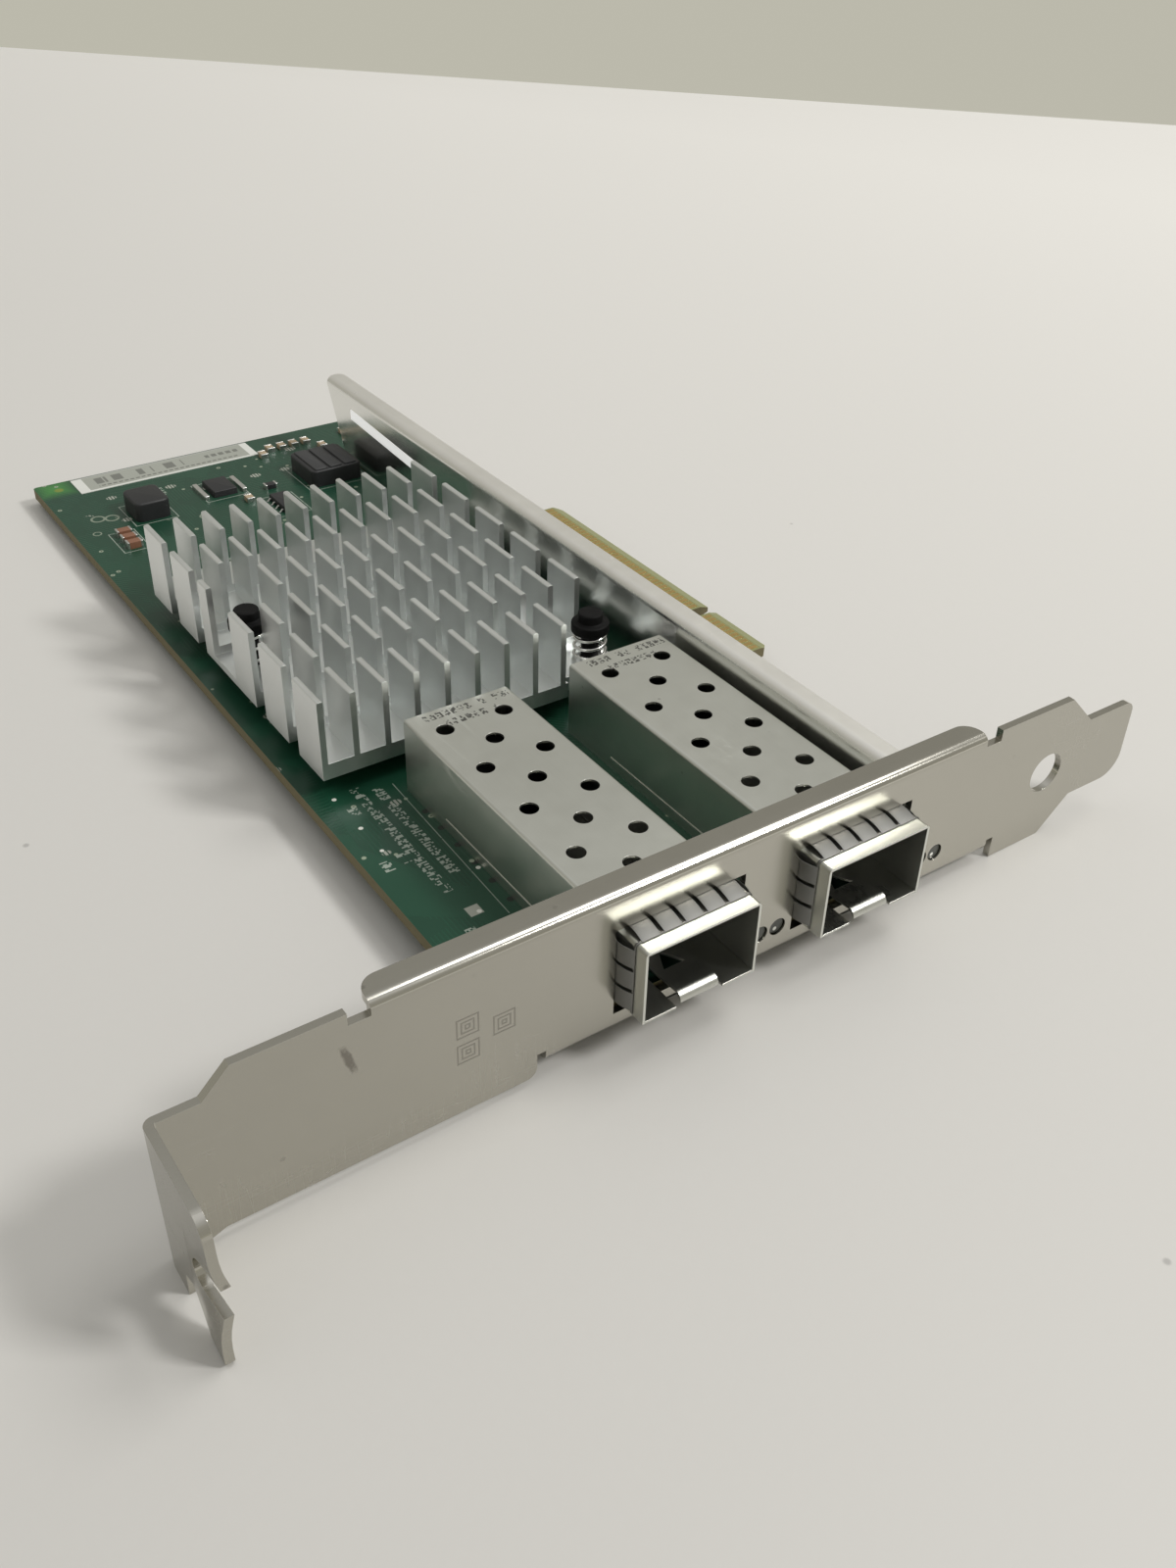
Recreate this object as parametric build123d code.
from build123d import *
import os

# Network interface card: a short board with an eight-lane edge connector, a full-height
# bracket, two transceiver cages, a pin-fin heatsink and a side rail.
# Millimetres. X runs along the bracket from its screw tab to its tongue, Y from the
# bracket's outer face to the card's far end, Z up from the component side.
# The model is laid out from the bracket's outer face, and every piece is moved at the
# end, so that the origin is the connector key's centre at the tip edge on the board's top.

# Bracket
SHEET = 0.86
BEND_INNER = 0.15
BRACKET_LENGTH = 120.02
BRACKET_WIDTH = 18.42
STEP_DROP = 2.75
STEP_END = 4.8
STEP_CHAMFER_END = 7.5
LOWER_SLOPE_END = 5.0
TONGUE_WIDTH = 10.19
TONGUE_TOP_DROP = 4.115
SHOULDER_TOP_REACH = 11.92
SHOULDER_BOTTOM_REACH = 12.92
TONGUE_TAPER_REACH = 8.52
TONGUE_CORNER_TOP = 1.5
TONGUE_CORNER_BOTTOM = 3.0
TONGUE_HOLE_REACH = 13.97
TONGUE_HOLE_DIAMETER = 5.0
TONGUE_PAST_BOARD = 23.97
TOP_FLANGE_START = 20.1
TOP_FLANGE_END = 94.4
TOP_FLANGE_DEPTH = 3.25
TOP_FLANGE_RISE = 0.06
TOP_RELIEF_WIDTH = 2.2
TOP_RELIEF_DEPTH = 1.35
FLANGE_CORNER = 2.0
LOWER_FLANGE_START = 37.7
LOWER_FLANGE_END = 98.0
LOWER_FLANGE_DEPTH = 3.4
LOWER_RELIEF_WIDTH = 1.0
LOWER_RELIEF_HEIGHT = 2.8
LOWER_ROUND = 1.2
EAR_WIDTH = 8.0
EAR_DEPTH = 9.6
EAR_LEFT_INSET = 6.5
EAR_LAMP_GAP = 4.15
EAR_SCREW_Y = 5.8

# Screw tab at the bracket's end
TAB_REACH = 11.43
TAB_TOP_CORNER = 2.2
NOTCH_TOP_Z = -10.6
NOTCH_BOTTOM_Z = -14.05
NOTCH_DEPTH = 4.9
HOOK_TIP_Z = -20.0
HOOK_TIP_ROUND = 0.5
HOOK_WIDTH = 3.13
HOOK_REAR = ((-7.1, -17.8), (-5.6, -16.0), (-3.7, -17.0))
TAB_FOOT_Z = -20.1
TAB_FOOT_REACH = 3.4

# How far the tab's front edge is bent sideways at each height, as the photographed one is
TAB_BEND_START = 5.9
TAB_BEND = ((-2.7, 0.0), (-5.0, 0.0), (-7.2, 0.04), (-9.0, 0.25), (-10.6, 0.6), (-12.3, 0.72),
            (-14.0, 0.45), (-15.8, 0.0), (-18.0, -0.2), (-20.2, -0.14))

# Board
BOARD_THICKNESS = 1.57
BOARD_TOP = -14.7
BOARD_LEFT = 35.4
BOARD_NEAR = 1.15
BOARD_FAR = 148.3
BOARD_HEIGHT = 68.9
TONGUE_LENGTH = 8.25
KEY_CENTRE_Y = 58.72
KEY_WIDTH = 1.9
KEY_DEPTH = 7.3
KEY_FLAT = 0.05
SHORT_EDGE = 11.65
LONG_EDGE = 38.65
EDGE_BEVEL = 0.45
EDGE_BEVEL_REACH = 1.35
EDGE_CORNER = 0.9
BOARD_CORNER = 0.6

# Edge contacts
CONTACT_PITCH = 1.0
CONTACT_WIDTH = 0.7
CONTACT_LENGTH = 3.9
CONTACT_SHORT_LENGTH = 2.9
CONTACT_THICKNESS = 0.05
CONTACT_INSET = 1.65
CONTACT_COUNT_NEAR = 11
CONTACT_COUNT_FAR = 38
CONTACT_FIRST_GAP = 0.825

# Transceiver cages
CAGE_WIDTH = 13.9
CAGE_HEIGHT = 9.8
CAGE_WALL = 0.3
CAGE_MOUTH_Y = -3.6
CAGE_REAR_Y = 43.1
CAGE_LEFT_X = 53.3
CAGE_RIGHT_X = 76.0
CAGE_EDGE_ROUND = 0.45
CAGE_FLOOR_LIFT = 0.77
CAGE_FLOOR_END = 28.5
CAGE_STEP_Y = 2.6
VENT_DIAMETER = 2.1
VENT_SIDE_OFFSET = 3.86
VENT_SIDE_START = 12.6
VENT_MIDDLE_START = 8.24
VENT_PITCH = 8.77
VENT_ROWS = 4
LATCH_WIDTH = 4.7
LATCH_LENGTH = 11.0
LATCH_SLIT = 0.5
LATCH_LIP_RADIUS = 1.0
LATCH_RISE = 1.53
LATCH_WINDOW = 2.6
LATCH_WINDOW_Y = 0.6
SEAM_HEIGHT = 1.6
SEAM_DEPTH = 0.12
SEAM_END = 34.0

# Port openings in the bracket and the spring collars round the cages
PORT_WIDTH = 15.6
PORT_TOP = -4.2
PORT_BOTTOM = -14.95
COLLAR_FRONT_Y = -2.0
COLLAR_REAR_Y = 2.3
COLLAR_SHEET = 0.12
COLLAR_CLEARANCE = 0.06
COLLAR_GAP = 0.02
COLLAR_BAND = 0.3
COLLAR_FINGERS_TOP = 5
COLLAR_FINGERS_SIDE = 3
COLLAR_SLIT = 0.45
COLLAR_MARGIN = 0.4

# Host sockets at the back of the cages
SOCKET_WIDTH = 11.6
SOCKET_LENGTH = 9.2
SOCKET_HEIGHT = 5.6
SOCKET_REAR_GAP = 2.4
SOCKET_SLOT_HEIGHT = 1.3
SOCKET_SLOT_WIDTH = 9.6
SOCKET_SLOT_DEPTH = 5.5
SOCKET_SLOT_LIFT = 2.6

# Heatsink
SINK_LEFT = 37.55
SINK_RIGHT = 80.0
SINK_NEAR = 46.7
SINK_FAR = 99.4
SINK_BOTTOM = -12.2
SINK_FLOOR = -10.1
SINK_GROOVE_FLOOR = -11.2
FIN_TOP = -1.6
FIN_THICKNESS = 0.8
FIN_TOP_ROUND = 0.25
FIN_COLUMNS = 11
FIN_ROWS = 6
FIN_LENGTH = 6.4
FIN_ROW_PITCH = 9.25
EDGE_NOTCH_DEPTH = 1.6
POCKET_START = 71.1
POCKET_END = 78.1
POCKET_REACH = 7.4
POCKET_FLOOR = 1.0
CORNER_CUT_X = 71.4
CORNER_CUT_Y = 1.2
CLEARED_FRONT_COLUMNS = 2
CLEARED_POCKET_COLUMNS = 2
POCKET_ROW = 3

# Push pins and springs
PIN_RIGHT = (77.2, 50.5)
PIN_LEFT = (41.0, 74.1)
PIN_KNOB_TOP = -3.5
PIN_KNOB_DIAMETER = 3.2
PIN_KNOB_HEIGHT = 1.3
PIN_KNOB_ROUND = 0.32
PIN_DISC_DIAMETER = 4.9
PIN_DISC_HEIGHT = 1.4
PIN_SHANK_DIAMETER = 2.3
PIN_TIP_DIAMETER = 3.1
PIN_POINT_DIAMETER = 1.84
PIN_SLIT = 0.46
PIN_TIP_LENGTH = 0.9
PIN_CLEARANCE = 0.2
SPRING_DIAMETER = 4.5
SPRING_WIRE = 0.45
SPRING_TURNS = 3

# Chip under the heatsink
CHIP_SIDE = 25.0
CHIP_CENTRE = (58.5, 73.0)
CHIP_SUBSTRATE = 0.9
CHIP_PAD_THICKNESS = 0.3
CHIP_BODY_SIDE = 20.0

# Side rail
RAIL_WALL_X = 84.1
RAIL_SHEET = 0.8
RAIL_TOP = -2.3
RAIL_FLANGE = 2.9
RAIL_NEAR = 1.3
RAIL_FAR = 139.0
RAIL_END_SLOPE = 5.5
RAIL_END_ROUND = 1.2
RAIL_BEND_INNER = 0.45
RAIL_PEG_WIDTH = 3.0
RAIL_PEG_DROP = 0.5
RAIL_PEGS = (9.0, 72.0, 128.0)
RAIL_PEG_CLEARANCE = 0.1
STRIP_LENGTH = 21.5
STRIP_HEIGHT = 1.6
STRIP_THICKNESS = 0.1
STRIP_FAR = 130.5
STRIP_TOP = -5.9
STRIP_TILT = 3.0

# Screws through the board into the bracket's ears
SCREW_DIAMETER = 2.9
SCREW_HEAD_DIAMETER = 5.4
SCREW_HEAD_HEIGHT = 1.7
SCREW_HEAD_ROUND = 0.76
SCREW_RECESS = 0.9
SCREW_CLEARANCE = 0.2

# Port lamps
LAMP_DIAMETER = 1.9
LAMP_Z = -13.6
LAMP_PAIRS = ((63.9, 66.3), (86.8, 89.15))
LAMP_HOLE_DIAMETER = 2.1
LAMP_BODY_DEPTH = 4.5
LAMP_BODY_MARGIN = 0.25
LAMP_FACE_SETBACK = 0.25
LAMP_BODY_HEIGHT = 2.3

# Parts on the board: left, near, width along X, length along Y, height
POWER_INDUCTOR = (73.8, 124.7, 8.8, 9.1, 3.0)
INDUCTOR_CORNER = 0.8
INDUCTOR_GROOVE = 0.36
INDUCTOR_RIDGES = 3
SMALL_INDUCTOR = (45.2, 127.2, 5.5, 6.5, 3.0)
SMALL_INDUCTOR_CORNER = 1.0
SMALL_INDUCTOR_ROUND = 0.36
REGULATOR = (58.7, 129.6, 4.0, 5.4, 1.0)
REGULATOR_BEVEL = 0.15
REGULATOR_BAR = (0.8, 5.6, 0.65)
REGULATOR_BAR_GAP = 0.8
MEMORY_CHIP = (65.9, 118.6, 3.0, 6.2, 0.9)
DIODE = (66.9, 128.1, 2.1, 1.3, 0.8)
BROWN_CAPACITOR = (2.4, 1.4, 1.1)
BROWN_CENTRES = ((41.9, 120.0), (41.9, 122.2), (41.9, 124.4))
PALE_CAPACITOR = (1.3, 1.9, 0.8)
PALE_CENTRES = ((74.1, 142.6), (76.3, 142.6), (78.5, 142.6), (80.7, 142.6), (82.4, 139.4),
                (88.3, 143.2), (63.1, 126.0), (72.1, 140.8))
END_CAP = 0.35
END_CAP_STEP = 0.06
LABEL_LEFT = 41.3
LABEL_LENGTH = 30.5
LABEL_WIDTH = 5.9
LABEL_THICKNESS = 0.1
LABEL_MARGIN = 0.35
LEAD_COUNT = 4
LEAD_WIDTH = 0.35
LEAD_REACH = 0.7
LEAD_STANDOFF = 0.11
LEAD_HEIGHT = 0.27

BEND_OUTER = BEND_INNER + SHEET
BOARD_BOTTOM = BOARD_TOP - BOARD_THICKNESS
BOARD_TIP = BOARD_LEFT + BOARD_HEIGHT
BOARD_RIGHT = BOARD_TIP - TONGUE_LENGTH
EDGE_NEAR = KEY_CENTRE_Y - KEY_WIDTH / 2 - SHORT_EDGE
EDGE_FAR = KEY_CENTRE_Y + KEY_WIDTH / 2 + LONG_EDGE
CAGE_TOP = BOARD_TOP + CAGE_HEIGHT
CAGE_FLOOR = BOARD_TOP + CAGE_FLOOR_LIFT
TONGUE_BOTTOM = -TONGUE_TOP_DROP - TONGUE_WIDTH
TONGUE_MIDDLE = -TONGUE_TOP_DROP - TONGUE_WIDTH / 2
TONGUE_END = BOARD_RIGHT + TONGUE_PAST_BOARD
TAB_X = TONGUE_END - BRACKET_LENGTH
TONGUE_HOLE_X = TONGUE_END - TONGUE_HOLE_REACH
EARS = (BOARD_LEFT + EAR_LEFT_INSET, LAMP_PAIRS[-1][-1] + EAR_LAMP_GAP)
ORIGIN = (BOARD_TIP, KEY_CENTRE_Y, BOARD_TOP)


def box(x0, x1, y0, y1, z0, z1):
    """A block between two corners."""
    return Pos((x0 + x1) / 2, (y0 + y1) / 2, (z0 + z1) / 2) * Box(x1 - x0, y1 - y0, z1 - z0)


def rod(x, y, z0, z1, diameter):
    """An upright cylinder."""
    return Pos(x, y, (z0 + z1) / 2) * Cylinder(diameter / 2, z1 - z0)


def rod_y(x, z, y0, y1, diameter):
    """A cylinder that runs from front to back."""
    return Pos(x, (y0 + y1) / 2, z) * Rot(90, 0, 0) * Cylinder(diameter / 2, y1 - y0)


def outline(points):
    """A flat face inside a closed run of straight lines."""
    return make_face(Polyline(*points, close=True))


def front_plate(face, y0, y1):
    """A plate whose outline is seen from the front, between two depths."""
    return Pos(0, y1, 0) * extrude(Plane.XZ * face, amount=y1 - y0)


def side_plate(face, x0, x1):
    """A plate whose outline is seen from the side, between two places along X."""
    return Pos(x0, 0, 0) * extrude(Plane.YZ * face, amount=x1 - x0)


def rounded(points, corners):
    """A flat face with some of its corners rounded, given as point: radius."""
    face = outline(points)
    for place, radius in corners.items():
        corner = face.vertices().sort_by_distance(Vector(*place, 0))[0]
        face = fillet(corner, radius)
    return face


def bent_flange(z_outer, inward_sign, depth, x0, x1):
    """A flange that is folded back from the face, with its round bend."""
    turn = -inward_sign
    centre_z = z_outer + turn * BEND_OUTER
    ring = Pos(BEND_OUTER, centre_z) * (Circle(BEND_OUTER) - Circle(BEND_INNER))
    quarter = Pos(BEND_OUTER / 2, centre_z - turn * BEND_OUTER / 2)
    bend = ring & (quarter * Rectangle(BEND_OUTER, BEND_OUTER))
    leaf_z = z_outer + turn * SHEET / 2
    leaf = Pos((BEND_OUTER + depth) / 2, leaf_z) * Rectangle(depth - BEND_OUTER, SHEET)
    return side_plate(bend, x0, x1) + side_plate(leaf, x0, x1)


def bracket_face():
    """The bracket's flat face with its shoulders, tongue, reliefs and openings."""
    top_bend = TOP_FLANGE_RISE - BEND_OUTER
    flange_start = TAB_X + TOP_FLANGE_START
    relief_left = flange_start - TOP_RELIEF_WIDTH
    relief_right = TOP_FLANGE_END + TOP_RELIEF_WIDTH
    low_left = LOWER_FLANGE_START - LOWER_RELIEF_WIDTH
    low_right = LOWER_FLANGE_END + LOWER_RELIEF_WIDTH
    low_bend = BOARD_BOTTOM - SHEET + BEND_OUTER
    relief_top = -BRACKET_WIDTH + LOWER_RELIEF_HEIGHT
    shoulder_top = TONGUE_END - SHOULDER_TOP_REACH
    points = [
        (TAB_X + BEND_OUTER, -STEP_DROP),
        (TAB_X + STEP_END, -STEP_DROP),
        (TAB_X + STEP_CHAMFER_END, 0),
        (relief_left, 0),
        (relief_left, -TOP_RELIEF_DEPTH),
        (flange_start, -TOP_RELIEF_DEPTH),
        (flange_start, top_bend),
        (TOP_FLANGE_END, top_bend),
        (TOP_FLANGE_END, -TOP_RELIEF_DEPTH),
        (relief_right, -TOP_RELIEF_DEPTH),
        (relief_right, 0),
        (shoulder_top, 0),
        (shoulder_top + TONGUE_TOP_DROP, -TONGUE_TOP_DROP),
        (TONGUE_END, -TONGUE_TOP_DROP),
        (TONGUE_END, TONGUE_BOTTOM),
        (TONGUE_END - TONGUE_TAPER_REACH, TONGUE_BOTTOM),
        (TONGUE_END - SHOULDER_BOTTOM_REACH, -BRACKET_WIDTH),
        (low_right, -BRACKET_WIDTH),
        (low_right, relief_top),
        (LOWER_FLANGE_END, relief_top),
        (LOWER_FLANGE_END, low_bend),
        (LOWER_FLANGE_START, low_bend),
        (LOWER_FLANGE_START, relief_top),
        (low_left, relief_top),
        (low_left, -BRACKET_WIDTH),
        (TAB_X + LOWER_SLOPE_END, -BRACKET_WIDTH),
        (TAB_X + BEND_OUTER, TAB_FOOT_Z),
    ]
    corners = {
        (TONGUE_END, -TONGUE_TOP_DROP): TONGUE_CORNER_TOP,
        (TONGUE_END, TONGUE_BOTTOM): TONGUE_CORNER_BOTTOM,
        (low_left, -BRACKET_WIDTH): LOWER_ROUND,
    }
    return rounded(points, corners)


def bracket_openings():
    """What is punched through the bracket's face: ports, lamp holes and the tongue's hole."""
    deep = SHEET * 3
    ports = [box(x - PORT_WIDTH / 2, x + PORT_WIDTH / 2, -deep, deep, PORT_BOTTOM, PORT_TOP)
             for x in (CAGE_LEFT_X, CAGE_RIGHT_X)]
    lamps = [rod_y(x, LAMP_Z, -deep, deep, LAMP_HOLE_DIAMETER) for pair in LAMP_PAIRS for x in pair]
    return ports + lamps + [rod_y(TONGUE_HOLE_X, TONGUE_MIDDLE, -deep, deep, TONGUE_HOLE_DIAMETER)]


def tab_outline():
    """The screw tab's outline, with a screw notch that is open to its outer end."""
    slot_radius = (NOTCH_TOP_Z - NOTCH_BOTTOM_Z) / 2
    slot_z = (NOTCH_TOP_Z + NOTCH_BOTTOM_Z) / 2
    points = [
        (-BEND_INNER, -STEP_DROP),
        (-TAB_REACH, -STEP_DROP),
        (-TAB_REACH, HOOK_TIP_Z),
        (-TAB_REACH + HOOK_WIDTH, HOOK_TIP_Z),
        *HOOK_REAR,
        (-TAB_FOOT_REACH, TAB_FOOT_Z),
        (-BEND_INNER, TAB_FOOT_Z),
    ]
    corners = {
        (-TAB_REACH, -STEP_DROP): TAB_TOP_CORNER,
        (-TAB_REACH, HOOK_TIP_Z): HOOK_TIP_ROUND,
    }
    face = rounded(points, corners)
    inner_y = -TAB_REACH + NOTCH_DEPTH - slot_radius
    slot = Pos(inner_y - TAB_REACH / 2, slot_z) * Rectangle(TAB_REACH, 2 * slot_radius)
    return face - slot - Pos(inner_y, slot_z) * Circle(slot_radius)


def tab_section(y, share):
    """The tab's sheet cut across at one depth, bent by a share of the front edge's bend."""
    outer = [(x * share, z) for z, x in TAB_BEND]
    inner = [(x + SHEET, z) for x, z in reversed(outer)]
    low = Line(outer[-1], inner[0])
    high = Line(inner[-1], outer[0])
    face = make_face(Curve() + [Spline(*outer), low, Spline(*inner), high])
    return Pos(0, y, 0) * (Plane.XZ * face)


def screw_tab():
    """The tab that is folded forward: flat behind, with its two front fingers bent sideways."""
    flat = box(0, SHEET, -TAB_BEND_START, 0, TAB_BEND[-1][0], TAB_BEND[0][0])
    bent = loft([tab_section(-TAB_REACH, 1), tab_section(-TAB_BEND_START, 0)], ruled=True)
    prism = side_plate(tab_outline(), -SHEET * 2, SHEET * 3)
    return (flat & prism) + (bent & prism)


def tab_bend():
    """The upright bend between the face and the tab."""
    ring = Circle(BEND_OUTER) - Circle(BEND_INNER)
    quarter = Pos(-BEND_OUTER / 2, BEND_OUTER / 2) * Rectangle(BEND_OUTER, BEND_OUTER)
    bend = Pos(BEND_OUTER, -BEND_INNER) * (ring & quarter)
    return Pos(0, 0, TAB_FOOT_Z) * extrude(bend, amount=-STEP_DROP - TAB_FOOT_Z)


def bracket():
    """The folded steel bracket as one piece."""
    body = front_plate(bracket_face(), 0, SHEET)
    body += Pos(TAB_X, 0, 0) * (tab_bend() + screw_tab())
    upper = bent_flange(TOP_FLANGE_RISE, 1, TOP_FLANGE_DEPTH, TAB_X + TOP_FLANGE_START, TOP_FLANGE_END)
    rear_corners = upper.edges().filter_by(Axis.Z).group_by(Axis.Y)[-1]
    body += fillet(rear_corners, FLANGE_CORNER)
    lower_outer = BOARD_BOTTOM - SHEET
    body += bent_flange(lower_outer, -1, LOWER_FLANGE_DEPTH, LOWER_FLANGE_START, LOWER_FLANGE_END)
    for x in EARS:
        ear = box(x - EAR_WIDTH / 2, x + EAR_WIDTH / 2, LOWER_FLANGE_DEPTH - SHEET, EAR_DEPTH,
                  lower_outer, BOARD_BOTTOM)
        ear_corners = ear.edges().filter_by(Axis.Z).group_by(Axis.Y)[-1]
        body += fillet(ear_corners, FLANGE_CORNER)
        body -= rod(x, EAR_SCREW_Y, lower_outer - SHEET, BOARD_BOTTOM + SHEET,
                    SCREW_DIAMETER + SCREW_CLEARANCE / 2)
    for opening in bracket_openings():
        body -= opening
    return body


def bracket_screw(x):
    """A pan-head screw from the component side into one ear."""
    low = BOARD_BOTTOM - SHEET
    head_top = BOARD_TOP + SCREW_HEAD_HEIGHT
    head = rod(x, EAR_SCREW_Y, BOARD_TOP, head_top, SCREW_HEAD_DIAMETER)
    head = fillet(head.edges().group_by(Axis.Z)[-1], SCREW_HEAD_ROUND)
    screw = head + rod(x, EAR_SCREW_Y, low, BOARD_TOP, SCREW_DIAMETER)
    arm = SCREW_HEAD_DIAMETER / 2
    cross = Box(arm, SCREW_RECESS, SCREW_RECESS * 2) + Box(SCREW_RECESS, arm, SCREW_RECESS * 2)
    return screw - Pos(x, EAR_SCREW_Y, head_top) * cross


def board_outline():
    """The board with its edge tongue, the tongue's bevelled corners and the key notch."""
    key_near = KEY_CENTRE_Y - KEY_WIDTH / 2
    key_far = KEY_CENTRE_Y + KEY_WIDTH / 2
    key_root = BOARD_TIP - KEY_DEPTH
    points = [
        (BOARD_LEFT, BOARD_NEAR),
        (BOARD_RIGHT, BOARD_NEAR),
        (BOARD_RIGHT, EDGE_NEAR),
        (BOARD_TIP - EDGE_CORNER, EDGE_NEAR),
        (BOARD_TIP, EDGE_NEAR + EDGE_CORNER),
        (BOARD_TIP, key_near),
        (key_root, key_near),
        (key_root, key_far),
        (BOARD_TIP, key_far),
        (BOARD_TIP, EDGE_FAR - EDGE_CORNER),
        (BOARD_TIP - EDGE_CORNER, EDGE_FAR),
        (BOARD_RIGHT, EDGE_FAR),
        (BOARD_RIGHT, BOARD_FAR),
        (BOARD_LEFT, BOARD_FAR),
    ]
    notch_round = KEY_WIDTH / 2 - KEY_FLAT
    corners = {
        (BOARD_LEFT, BOARD_FAR): BOARD_CORNER,
        (BOARD_RIGHT, BOARD_FAR): BOARD_CORNER,
        (key_root, key_near): notch_round,
        (key_root, key_far): notch_round,
    }
    return rounded(points, corners)


def circuit_board():
    """The board with holes for the screws, the push pins and the rail's pegs."""
    board = Pos(0, 0, BOARD_BOTTOM) * extrude(board_outline(), amount=BOARD_THICKNESS)
    bevel_face = outline([(0, -EDGE_BEVEL), (EDGE_BEVEL_REACH, 0), (0, 0)])
    bevel = extrude(Plane.XZ * bevel_face, amount=-(EDGE_FAR - EDGE_NEAR))
    upper = Pos(BOARD_TIP, EDGE_NEAR, BOARD_TOP) * mirror(bevel, Plane.YZ)
    board -= upper
    board -= Pos(0, 0, BOARD_TOP + BOARD_BOTTOM) * mirror(upper, Plane.XY)
    low = BOARD_BOTTOM - BOARD_THICKNESS
    high = BOARD_TOP + BOARD_THICKNESS
    for x in EARS:
        board -= rod(x, EAR_SCREW_Y, low, high, SCREW_DIAMETER + 2 * SCREW_CLEARANCE)
    for x, y in (PIN_LEFT, PIN_RIGHT):
        board -= rod(x, y, low, high, PIN_SHANK_DIAMETER + 2 * PIN_CLEARANCE)
    for y in RAIL_PEGS:
        half = RAIL_PEG_WIDTH / 2 + RAIL_PEG_CLEARANCE
        board -= box(RAIL_WALL_X - RAIL_PEG_CLEARANCE, RAIL_WALL_X + RAIL_SHEET + RAIL_PEG_CLEARANCE,
                     y - half, y + half, low, high)
    return board


def edge_contacts(z0):
    """One side's row of contacts, with the two shorter ones beside the key."""
    tip = BOARD_TIP - CONTACT_INSET
    starts = [(EDGE_NEAR + CONTACT_FIRST_GAP, CONTACT_COUNT_NEAR),
              (KEY_CENTRE_Y + KEY_WIDTH / 2 + CONTACT_FIRST_GAP, CONTACT_COUNT_FAR)]
    pads = []
    for start, count in starts:
        for step in range(count):
            y = start + step * CONTACT_PITCH
            beside_key = abs(y - KEY_CENTRE_Y) < KEY_WIDTH / 2 + CONTACT_PITCH
            length = CONTACT_SHORT_LENGTH if beside_key else CONTACT_LENGTH
            pads.append(box(tip - length, tip, y - CONTACT_WIDTH / 2, y + CONTACT_WIDTH / 2,
                            z0, z0 + CONTACT_THICKNESS))
    return pads


def vent_places():
    """Places of the round vents in a cage's top, from its centre line."""
    side = [VENT_SIDE_START + row * VENT_PITCH for row in range(VENT_ROWS)]
    middle = [VENT_MIDDLE_START + row * VENT_PITCH for row in range(VENT_ROWS)]
    places = [(sign * VENT_SIDE_OFFSET, y) for sign in (-1, 1) for y in side]
    return places + [(0, y) for y in middle]


def cage_shell(x):
    """The cage's upper sheet: top, sides and rear, with vents, open below and in front."""
    half = CAGE_WIDTH / 2
    block = box(x - half, x + half, CAGE_STEP_Y, CAGE_REAR_Y, BOARD_TOP, CAGE_TOP)
    block += box(x - half, x + half, CAGE_MOUTH_Y, CAGE_STEP_Y, CAGE_FLOOR, CAGE_TOP)
    long_edges = block.edges().filter_by(Axis.Y).group_by(Axis.Z)[-1]
    block = fillet(long_edges, CAGE_EDGE_ROUND)
    inner = half - CAGE_WALL
    block -= box(x - inner, x + inner, CAGE_MOUTH_Y - half, CAGE_REAR_Y - CAGE_WALL,
                 BOARD_TOP - half, CAGE_TOP - CAGE_WALL)
    for dx, y in vent_places():
        block -= rod(x + dx, y, CAGE_TOP - CAGE_WALL * 2, CAGE_TOP + CAGE_WALL, VENT_DIAMETER)
    for sign in (-1, 1):
        face = x + sign * half
        seam_z = BOARD_TOP + SEAM_HEIGHT
        seam = box(face - SEAM_DEPTH, face + SEAM_DEPTH, CAGE_STEP_Y + SHEET, SEAM_END,
                   seam_z - SEAM_DEPTH, seam_z + SEAM_DEPTH)
        block -= seam
    return block


def latch_tongue(x):
    """The sprung tongue: it rises towards the mouth, rolls down in front, and has a latch window."""
    radius = LATCH_LIP_RADIUS
    crest = CAGE_FLOOR + LATCH_RISE
    crest_y = CAGE_MOUTH_Y + radius
    root_y = CAGE_MOUTH_Y + LATCH_LENGTH
    ramp = outline([(crest_y, crest - CAGE_WALL), (crest_y, crest), (root_y, CAGE_FLOOR + CAGE_WALL),
                    (root_y, CAGE_FLOOR)])
    ring = Pos(crest_y, crest - radius) * (Circle(radius) - Circle(radius - CAGE_WALL))
    quarter = Pos(crest_y - radius / 2, crest - radius / 2) * Rectangle(radius, radius)
    low, high = x - LATCH_WIDTH / 2, x + LATCH_WIDTH / 2
    tongue = side_plate(ramp, low, high) + side_plate(ring & quarter, low, high)
    window = outline([(-LATCH_WINDOW / 2, 0), (LATCH_WINDOW / 2, 0), (0, LATCH_WINDOW)])
    cut = extrude(window, amount=crest - CAGE_FLOOR + CAGE_WALL)
    return tongue - Pos(x, LATCH_WINDOW_Y, CAGE_FLOOR - CAGE_WALL / 2) * cut


def cage_base(x):
    """The cage's floor sheet with its sprung latch tongue between two slits."""
    inner = CAGE_WIDTH / 2 - CAGE_WALL
    floor_top = CAGE_FLOOR + CAGE_WALL
    base = box(x - inner, x + inner, CAGE_MOUTH_Y, CAGE_FLOOR_END, CAGE_FLOOR, floor_top)
    half = LATCH_WIDTH / 2 + LATCH_SLIT
    base -= box(x - half, x + half, CAGE_MOUTH_Y - LATCH_SLIT, CAGE_MOUTH_Y + LATCH_LENGTH,
                CAGE_FLOOR - CAGE_WALL, floor_top + CAGE_WALL)
    return base + latch_tongue(x)


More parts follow.
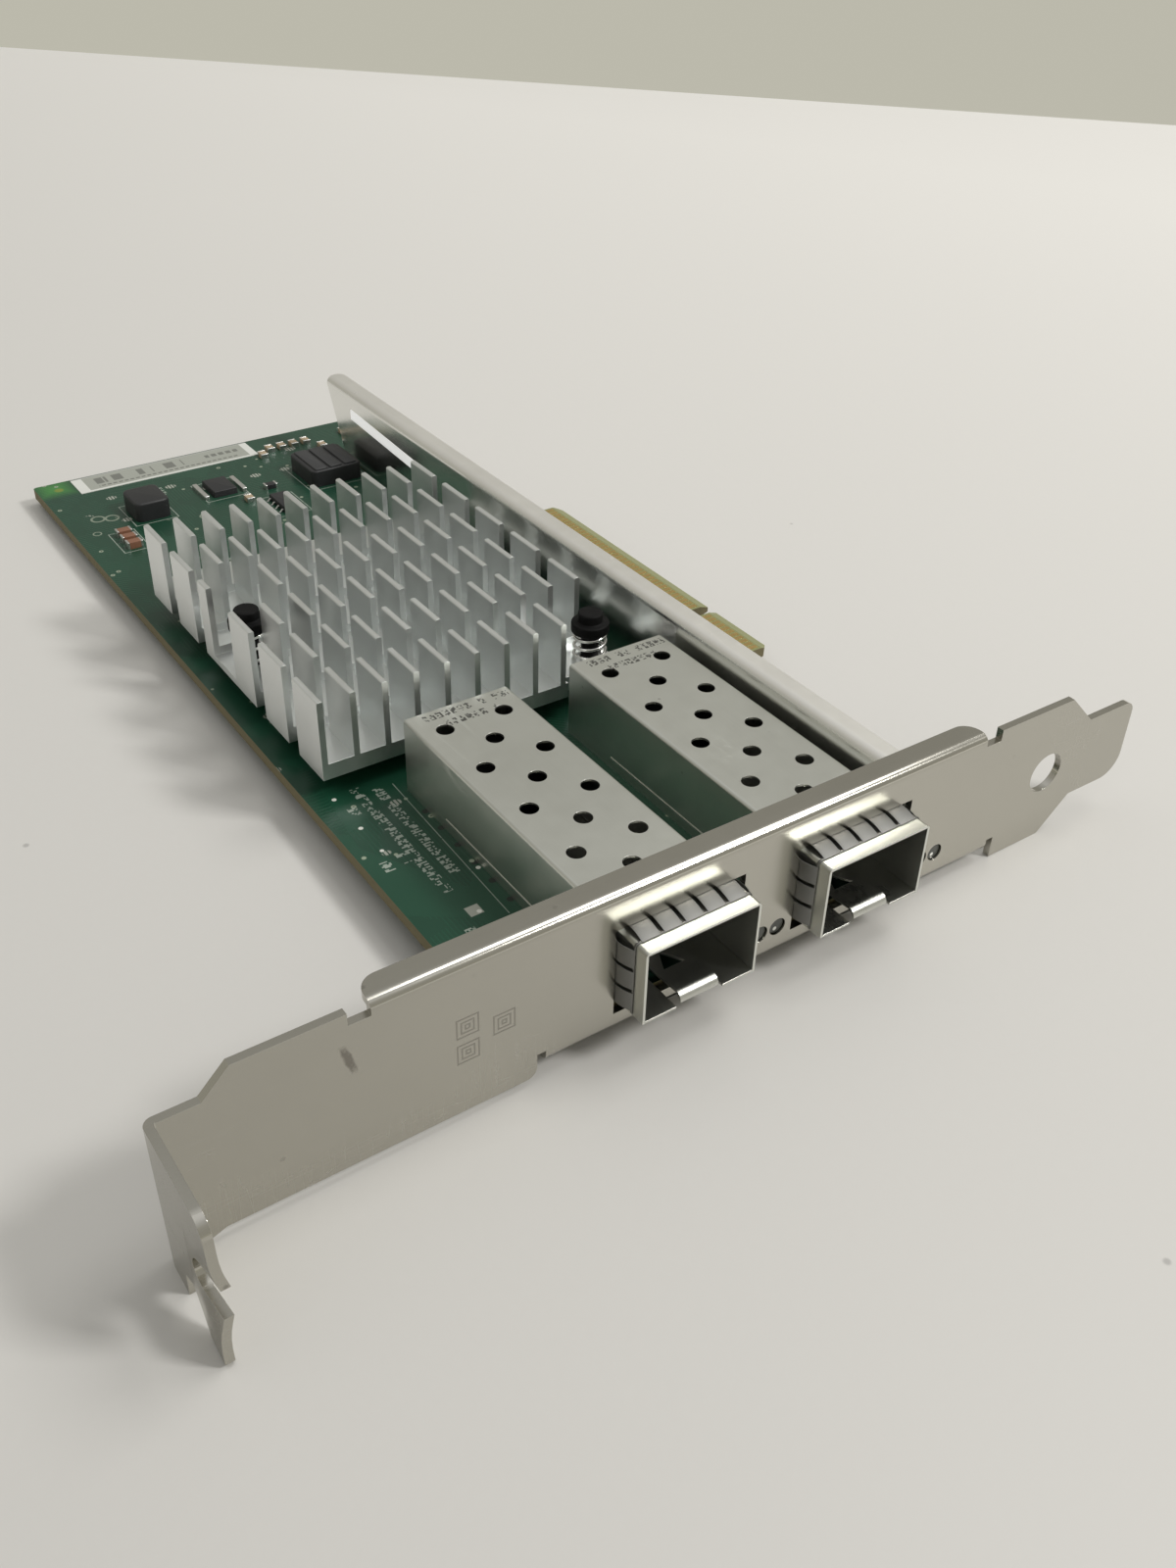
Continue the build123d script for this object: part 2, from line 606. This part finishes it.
def collar_section(bulge):
    """The section of a collar's side: a shallow bow, as a face of depth by height."""
    crest = (COLLAR_FRONT_Y + COLLAR_REAR_Y) / 2
    low = COLLAR_GAP
    outer = ThreePointArc((COLLAR_FRONT_Y, low + COLLAR_SHEET), (crest, bulge),
                          (COLLAR_REAR_Y, low + COLLAR_SHEET))
    inner = ThreePointArc((COLLAR_FRONT_Y, low), (crest, bulge - COLLAR_SHEET), (COLLAR_REAR_Y, low))
    front = Line((COLLAR_FRONT_Y, low), (COLLAR_FRONT_Y, low + COLLAR_SHEET))
    rear = Line((COLLAR_REAR_Y, low), (COLLAR_REAR_Y, low + COLLAR_SHEET))
    return make_face(Curve() + [outer, rear, inner, front])


def collar_side(width, fingers, bulge):
    """One side of a collar: bowed fingers parted by slits behind a band at the front."""
    side = side_plate(collar_section(bulge), -width / 2, width / 2)
    pitch = width / fingers
    for index in range(1, fingers):
        place = -width / 2 + index * pitch
        side -= box(place - COLLAR_SLIT / 2, place + COLLAR_SLIT / 2, COLLAR_FRONT_Y + COLLAR_BAND,
                    COLLAR_REAR_Y + COLLAR_SHEET, 0, bulge + COLLAR_SHEET)
    return side


def collar(x):
    """The sprung collar round a cage where it passes the bracket."""
    half = CAGE_WIDTH / 2
    height = CAGE_TOP - CAGE_FLOOR
    middle = (CAGE_TOP + CAGE_FLOOR) / 2
    top_bulge = PORT_TOP - CAGE_TOP - COLLAR_CLEARANCE
    side_bulge = (PORT_WIDTH - CAGE_WIDTH) / 2 - COLLAR_CLEARANCE
    top = collar_side(CAGE_WIDTH - 2 * COLLAR_MARGIN, COLLAR_FINGERS_TOP, top_bulge)
    flank = collar_side(height - 2 * COLLAR_MARGIN, COLLAR_FINGERS_SIDE, side_bulge)
    ring = Pos(x, 0, CAGE_TOP) * top
    ring += Pos(x - half, 0, middle) * Rot(0, -90, 0) * flank
    ring += Pos(x + half, 0, middle) * Rot(0, 90, 0) * flank
    reach = COLLAR_GAP + COLLAR_SHEET
    band_rear = COLLAR_FRONT_Y + COLLAR_BAND
    hoop = box(x - half - reach, x + half + reach, COLLAR_FRONT_Y, band_rear,
               CAGE_FLOOR - reach, CAGE_TOP + reach)
    hoop -= box(x - half - COLLAR_GAP, x + half + COLLAR_GAP, COLLAR_FRONT_Y - reach,
                band_rear + reach, CAGE_FLOOR - COLLAR_GAP, CAGE_TOP + COLLAR_GAP)
    return ring + hoop


def host_socket(x):
    """The moulded socket on the board inside a cage, with its card slot facing the mouth."""
    rear = CAGE_REAR_Y - SOCKET_REAR_GAP
    front = rear - SOCKET_LENGTH
    half = SOCKET_WIDTH / 2
    body = box(x - half, x + half, front, rear, BOARD_TOP, BOARD_TOP + SOCKET_HEIGHT)
    body = chamfer(body.edges().filter_by(Axis.X).group_by(Axis.Y)[0].sort_by(Axis.Z)[-1], CAGE_WALL)
    slot_low = BOARD_TOP + SOCKET_SLOT_LIFT
    slot = SOCKET_SLOT_WIDTH / 2
    return body - box(x - slot, x + slot, front - half, front + SOCKET_SLOT_DEPTH,
                      slot_low, slot_low + SOCKET_SLOT_HEIGHT)


def fin_columns():
    """Left edges of the fin columns, the first flush with the base's left side."""
    pitch = (SINK_RIGHT - 2 * FIN_THICKNESS - SINK_LEFT) / (FIN_COLUMNS - 1)
    return [SINK_LEFT + column * pitch for column in range(FIN_COLUMNS)]


def sink_base():
    """The heatsink's base with cross grooves, edge notches and the cut-back front corner."""
    base = box(SINK_LEFT, SINK_RIGHT, SINK_NEAR, SINK_FAR, SINK_BOTTOM, SINK_FLOOR)
    base -= box(CORNER_CUT_X, SINK_RIGHT + CORNER_CUT_Y, SINK_NEAR - CORNER_CUT_Y,
                SINK_NEAR + CORNER_CUT_Y, SINK_BOTTOM - CORNER_CUT_Y, SINK_FLOOR + CORNER_CUT_Y)
    for row in range(FIN_ROWS - 1):
        near = SINK_NEAR + row * FIN_ROW_PITCH + FIN_LENGTH
        far = SINK_NEAR + (row + 1) * FIN_ROW_PITCH
        base -= box(SINK_LEFT - FIN_LENGTH, SINK_RIGHT + FIN_LENGTH, near, far,
                    SINK_GROOVE_FLOOR, FIN_TOP)
        if not near - FIN_LENGTH < POCKET_START < far:
            base -= box(SINK_LEFT - EDGE_NOTCH_DEPTH, SINK_LEFT + EDGE_NOTCH_DEPTH, near, far,
                        SINK_BOTTOM - FIN_LENGTH, FIN_TOP)
    return base


def fin_is_cleared(row, column):
    """Whether a fin was left out beside a push pin."""
    front_corner = row == 0 and column >= FIN_COLUMNS - CLEARED_FRONT_COLUMNS
    beside_pocket = row == POCKET_ROW and column < CLEARED_POCKET_COLUMNS
    return front_corner or beside_pocket


def fin(left, near, far):
    """One upright plate with a rounded top."""
    points = [(left, SINK_FLOOR), (left, FIN_TOP), (left + FIN_THICKNESS, FIN_TOP),
              (left + FIN_THICKNESS, SINK_FLOOR)]
    corners = {(left, FIN_TOP): FIN_TOP_ROUND, (left + FIN_THICKNESS, FIN_TOP): FIN_TOP_ROUND}
    return front_plate(rounded(points, corners), near, far)


def heatsink():
    """The heatsink with eleven columns and six rows of upright plates."""
    sink = sink_base()
    for column, left in enumerate(fin_columns()):
        for row in range(FIN_ROWS):
            near = SINK_NEAR + row * FIN_ROW_PITCH
            if fin_is_cleared(row, column):
                continue
            sink += fin(left, near, near + FIN_LENGTH)
    pocket_right = SINK_LEFT + POCKET_REACH
    stub_far = SINK_NEAR + POCKET_ROW * FIN_ROW_PITCH + FIN_LENGTH
    sink += fin(SINK_LEFT, POCKET_END, stub_far)
    sink -= box(SINK_LEFT - POCKET_REACH, pocket_right, POCKET_START, POCKET_END,
                SINK_BOTTOM + POCKET_FLOOR, FIN_TOP + POCKET_FLOOR)
    for x, y in (PIN_LEFT, PIN_RIGHT):
        sink -= rod(x, y, SINK_BOTTOM - POCKET_FLOOR, FIN_TOP, PIN_SHANK_DIAMETER + 2 * PIN_CLEARANCE)
    return sink


def push_pin(place):
    """A moulded push pin: knob, disc, shank and the split tip under the board."""
    x, y = place
    disc_top = PIN_KNOB_TOP - PIN_KNOB_HEIGHT
    disc_bottom = disc_top - PIN_DISC_HEIGHT
    tip_bottom = BOARD_BOTTOM - PIN_TIP_LENGTH
    knob = rod(x, y, disc_top, PIN_KNOB_TOP, PIN_KNOB_DIAMETER)
    pin = fillet(knob.edges().group_by(Axis.Z)[-1], PIN_KNOB_ROUND)
    pin += rod(x, y, disc_bottom, disc_top, PIN_DISC_DIAMETER)
    pin += rod(x, y, tip_bottom, disc_bottom, PIN_SHANK_DIAMETER)
    barb_top = BOARD_BOTTOM - PIN_CLEARANCE / 2
    barb = Cone(PIN_POINT_DIAMETER / 2, PIN_TIP_DIAMETER / 2, barb_top - tip_bottom)
    pin += Pos(x, y, (barb_top + tip_bottom) / 2) * barb
    slit = PIN_SLIT
    return pin - box(x - slit / 2, x + slit / 2, y - PIN_TIP_DIAMETER, y + PIN_TIP_DIAMETER,
                     tip_bottom - slit, BOARD_TOP)


def pin_spring(place, seat):
    """The coil spring between a pin's disc and the heatsink."""
    x, y = place
    disc_bottom = PIN_KNOB_TOP - PIN_KNOB_HEIGHT - PIN_DISC_HEIGHT
    radius = (SPRING_DIAMETER - SPRING_WIRE) / 2
    rise = disc_bottom - seat - SPRING_WIRE
    path = Helix(pitch=rise / SPRING_TURNS, height=rise, radius=radius)
    section = Plane(path @ 0, z_dir=path % 0) * RegularPolygon(SPRING_WIRE / 2, 8)
    coil = sweep(section, path=path, is_frenet=True)
    return Pos(x, y, seat + SPRING_WIRE / 2) * coil


def controller_chip():
    """The controller under the heatsink: a substrate with a raised lid."""
    x, y = CHIP_CENTRE
    half = CHIP_SIDE / 2
    body = CHIP_BODY_SIDE / 2
    substrate_top = BOARD_TOP + CHIP_SUBSTRATE
    chip = box(x - half, x + half, y - half, y + half, BOARD_TOP, substrate_top)
    return chip + box(x - body, x + body, y - body, y + body, substrate_top,
                      SINK_BOTTOM - CHIP_PAD_THICKNESS)


def thermal_pad():
    """The soft pad between the chip's lid and the heatsink."""
    x, y = CHIP_CENTRE
    half = CHIP_BODY_SIDE / 2
    return box(x - half, x + half, y - half, y + half, SINK_BOTTOM - CHIP_PAD_THICKNESS, SINK_BOTTOM)


def rail_flange_x():
    """Where the rail's flange ends."""
    return RAIL_WALL_X + RAIL_FLANGE


def side_rail():
    """The folded side rail: a wall on the board and a flange turned outward at its top."""
    outer = RAIL_BEND_INNER + RAIL_SHEET
    centre = (RAIL_WALL_X + outer, RAIL_TOP - outer)
    ring = Pos(*centre) * (Circle(outer) - Circle(RAIL_BEND_INNER))
    quarter = Pos(RAIL_WALL_X + outer / 2, RAIL_TOP - outer / 2) * Rectangle(outer, outer)
    rail = front_plate(ring & quarter, RAIL_NEAR, RAIL_FAR)
    wall = outline([(RAIL_NEAR, RAIL_TOP - outer), (RAIL_FAR, RAIL_TOP - outer),
                    (RAIL_FAR - RAIL_END_SLOPE, BOARD_TOP), (RAIL_NEAR, BOARD_TOP)])
    rail += side_plate(wall, RAIL_WALL_X, RAIL_WALL_X + RAIL_SHEET)
    flange = box(RAIL_WALL_X + outer, rail_flange_x(), RAIL_NEAR, RAIL_FAR,
                 RAIL_TOP - RAIL_SHEET, RAIL_TOP)
    end = flange.edges().filter_by(Axis.Z).group_by(Axis.Y)[-1].sort_by(Axis.X)[-1]
    rail += fillet(end, RAIL_END_ROUND)
    for y in RAIL_PEGS:
        rail += box(RAIL_WALL_X, RAIL_WALL_X + RAIL_SHEET, y - RAIL_PEG_WIDTH / 2,
                    y + RAIL_PEG_WIDTH / 2, BOARD_BOTTOM - RAIL_PEG_DROP, BOARD_TOP)
    return rail


def rail_strip():
    """The pale strip stuck on the rail's inner side."""
    strip = Box(STRIP_THICKNESS, STRIP_LENGTH, STRIP_HEIGHT)
    middle = (RAIL_WALL_X - STRIP_THICKNESS / 2, STRIP_FAR - STRIP_LENGTH / 2,
              STRIP_TOP - STRIP_HEIGHT / 2)
    return Pos(*middle) * Rot(STRIP_TILT, 0, 0) * strip


def port_lamp(pair):
    """A lamp block behind the bracket with two round light guides."""
    left, right = pair
    margin = LAMP_DIAMETER / 2 + LAMP_BODY_MARGIN
    near = BOARD_NEAR + LAMP_FACE_SETBACK
    block = box(left - margin, right + margin, near, near + LAMP_BODY_DEPTH,
                BOARD_TOP, BOARD_TOP + LAMP_BODY_HEIGHT)
    for x in pair:
        block += rod_y(x, LAMP_Z, LAMP_FACE_SETBACK, near, LAMP_DIAMETER)
    return block


def on_board(size):
    """A plain body on the board."""
    left, near, width, length, height = size
    return box(left, left + width, near, near + length, BOARD_TOP, BOARD_TOP + height)


def power_inductor():
    """The large moulded inductor with three shallow ridges along its top."""
    left, near, width, length, height = POWER_INDUCTOR
    body = on_board(POWER_INDUCTOR)
    body = chamfer(body.edges().filter_by(Axis.Z), INDUCTOR_CORNER)
    pitch = width / INDUCTOR_RIDGES
    for index in range(1, INDUCTOR_RIDGES):
        x = left + index * pitch
        body -= box(x - INDUCTOR_GROOVE, x + INDUCTOR_GROOVE, near - length, near + 2 * length,
                    BOARD_TOP + height - INDUCTOR_GROOVE, BOARD_TOP + 2 * height)
    return body


def small_inductor():
    """The inductor near the far left corner, with cut corners."""
    body = on_board(SMALL_INDUCTOR)
    body = chamfer(body.edges().filter_by(Axis.Z), SMALL_INDUCTOR_CORNER)
    return fillet(body.edges().group_by(Axis.Z)[-1], SMALL_INDUCTOR_ROUND)


def regulator():
    """The regulator's body."""
    body = on_board(REGULATOR)
    return chamfer(body.edges().group_by(Axis.Z)[-1], REGULATOR_BEVEL)


def regulator_bars():
    """The bright terminal bars on both sides of the regulator."""
    left, near, width, length, _ = REGULATOR
    bar_width, bar_length, bar_height = REGULATOR_BAR
    start = near + (length - bar_length) / 2
    places = (left - REGULATOR_BAR_GAP - bar_width, left + width + REGULATOR_BAR_GAP)
    return [on_board((x, start, bar_width, bar_length, bar_height)) for x in places]


def memory_chip():
    """A small package with leads along its two long sides."""
    left, near, width, length, height = MEMORY_CHIP
    body = box(left, left + width, near, near + length, BOARD_TOP + LEAD_STANDOFF, BOARD_TOP + height)
    pitch = length / LEAD_COUNT
    for index in range(LEAD_COUNT):
        y = near + (index + 0.5) * pitch
        body += box(left - LEAD_REACH, left + width + LEAD_REACH, y - LEAD_WIDTH / 2,
                    y + LEAD_WIDTH / 2, BOARD_TOP, BOARD_TOP + LEAD_HEIGHT)
    return body


def capped_part(x, y, width, length, height, along_x):
    """A small chip part with a raised cap at each end."""
    body = box(x - width / 2, x + width / 2, y - length / 2, y + length / 2,
               BOARD_TOP, BOARD_TOP + height - END_CAP_STEP)
    for sign in (-1, 1):
        if along_x:
            end = x + sign * (width - END_CAP) / 2
            body += box(end - END_CAP / 2, end + END_CAP / 2, y - length / 2, y + length / 2,
                        BOARD_TOP, BOARD_TOP + height)
        else:
            end = y + sign * (length - END_CAP) / 2
            body += box(x - width / 2, x + width / 2, end - END_CAP / 2, end + END_CAP / 2,
                        BOARD_TOP, BOARD_TOP + height)
    return body


def diode():
    """The dark part with bright ends."""
    left, near, width, length, height = DIODE
    return capped_part(left + width / 2, near + length / 2, width, length, height, True)


def label_strip():
    """The printed label along the board's far edge."""
    far = BOARD_FAR - LABEL_MARGIN
    return box(LABEL_LEFT, LABEL_LEFT + LABEL_LENGTH, far - LABEL_WIDTH, far,
               BOARD_TOP, BOARD_TOP + LABEL_THICKNESS)


def write(name, pieces):
    """Move the pieces to the part's origin and write them as one node."""
    solids = pieces if isinstance(pieces, list) else [pieces]
    moved = [Pos(-ORIGIN[0], -ORIGIN[1], -ORIGIN[2]) * piece for piece in solids]
    shape = moved[0] if len(moved) == 1 else Compound(children=moved)
    export_step(shape, "parts/" + name + ".step")


def main():
    """Build every node."""
    os.makedirs("parts", exist_ok=True)
    write("bracket", bracket())
    write("bracket_screws", [bracket_screw(x) for x in EARS])
    write("circuit_board", circuit_board())
    write("edge_contacts_front", edge_contacts(BOARD_TOP))
    write("edge_contacts_back", edge_contacts(BOARD_BOTTOM - CONTACT_THICKNESS))
    for side, x in (("left", CAGE_LEFT_X), ("right", CAGE_RIGHT_X)):
        write("cage_shell_" + side, cage_shell(x))
        write("cage_base_" + side, cage_base(x))
        write("collar_" + side, collar(x))
        write("socket_" + side, host_socket(x))
    write("heatsink", heatsink())
    write("thermal_pad", thermal_pad())
    write("controller_chip", controller_chip())
    pocket_seat = SINK_BOTTOM + POCKET_FLOOR
    for side, place, seat in (("left", PIN_LEFT, pocket_seat), ("right", PIN_RIGHT, SINK_FLOOR)):
        write("pin_" + side, push_pin(place))
        write("spring_" + side, pin_spring(place, seat))
    write("side_rail", side_rail())
    write("rail_strip", rail_strip())
    write("port_lamps", [port_lamp(pair) for pair in LAMP_PAIRS])
    write("power_inductor", power_inductor())
    write("small_inductor", small_inductor())
    write("regulator", regulator())
    write("regulator_bars", regulator_bars())
    write("memory_chip", memory_chip())
    write("diode", diode())
    width, length, height = BROWN_CAPACITOR
    write("brown_capacitors", [capped_part(x, y, width, length, height, True) for x, y in BROWN_CENTRES])
    width, length, height = PALE_CAPACITOR
    write("pale_capacitors", [capped_part(x, y, width, length, height, False) for x, y in PALE_CENTRES])
    write("label_strip", label_strip())


if __name__ == "__main__":
    main()
